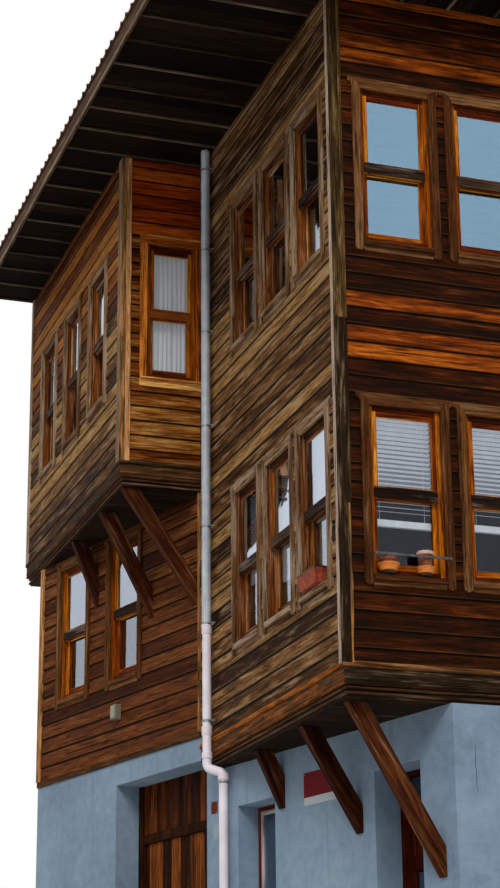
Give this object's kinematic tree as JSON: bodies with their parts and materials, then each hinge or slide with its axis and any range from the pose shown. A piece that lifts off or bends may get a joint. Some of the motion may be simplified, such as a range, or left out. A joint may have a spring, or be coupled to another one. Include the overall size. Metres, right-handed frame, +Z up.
{
  "type": "timber-clad town house",
  "caption": "Three-storey timber-clad town house with saw-tooth overhangs on raking brackets over a plastered ground floor.",
  "frame": {"origin": "on the ground, at the middle of the house's bounding box", "axes": "+Z up; +Y from the front wall to the end wall; the street wall and the side walls of the bays face -X"},
  "size_m": [7.85, 9.676, 12.0058],
  "materials": {
    "plaster": "lime plaster, limewashed",
    "weathered_timber": "weathered softwood boards, old oil stain",
    "window_timber": "varnished softwood, worn",
    "window_glass": "clear float glass",
    "floor_timber": "sawn softwood",
    "roof_tiles": "fired clay tiles",
    "stone": "stone flags",
    "door_timber": "varnished hardwood",
    "pipe": "painted rainwater pipe",
    "plate_enamel": "enamelled sheet",
    "guard_metal": "weathered painted steel",
    "terracotta": "fired clay"
  },
  "bodies": {
    "house": {"ground_floor": "stone", "street_wall_corner": "plaster", "street_wall_over_door": "plaster", "street_wall_middle": "plaster", "street_wall_over_gate": "plaster", "street_wall_left": "plaster", "side_wall_ground": "plaster", "rear_walls_ground": "plaster", "right_bay_sole_plate": "weathered_timber", "first_floor": "floor_timber", "bay_side_wall_first": "weathered_timber", "bay_front_wall_first": "weathered_timber", "street_timber_wall": "weathered_timber", "rear_walls_first": "weathered_timber", "left_bay_sole_plate": "weathered_timber", "second_floor": "floor_timber", "bay_side_wall_second": "weathered_timber", "bay_front_wall_second": "weathered_timber", "left_bay_front_wall": "weathered_timber", "left_bay_side_wall": "weathered_timber", "rear_walls_second": "weathered_timber", "attic_floor": "floor_timber", "eaves": "weathered_timber", "roof": "roof_tiles", "raking_brackets": "weathered_timber", "skirt_mouldings": "weathered_timber", "corner_boards": "weathered_timber", "window_casings_first": "window_timber", "window_casings_second": "window_timber", "window_frames_first": "window_timber", "window_frames_second": "window_timber", "window_glass_first": "window_glass", "window_glass_second": "window_glass", "ground_window_frames": "window_timber", "ground_glass": "window_glass", "door_frame": "door_timber", "gate_frame": "door_timber", "downpipe": "pipe", "wall_plates": "plate_enamel", "window_guard": "guard_metal", "flower_pots": "terracotta"},
    "front_door": {"door_leaf": "door_timber", "door_leaf_glass": "window_glass"},
    "gate_right": {"gate_leaf_right": "door_timber"},
    "gate_left": {"gate_leaf_left": "door_timber"}
  },
  "joints": [
    {"name": "front_door_hinge", "type": "hinge", "parent": "house", "child": "front_door", "pos_m": [-1.0481, -2.7957, 1.1], "axis": [0, 0, 1], "range_deg": [0, 100]},
    {"name": "gate_right_hinge", "type": "hinge", "parent": "house", "child": "gate_right", "pos_m": [-1.8086, 0.3003, 1.1], "axis": [0, 0, -1], "range_deg": [0, 100]},
    {"name": "gate_left_hinge", "type": "hinge", "parent": "house", "child": "gate_left", "pos_m": [-2.2413, 2.0619, 1.1], "axis": [0, 0, 1], "range_deg": [0, 100]}
  ]
}
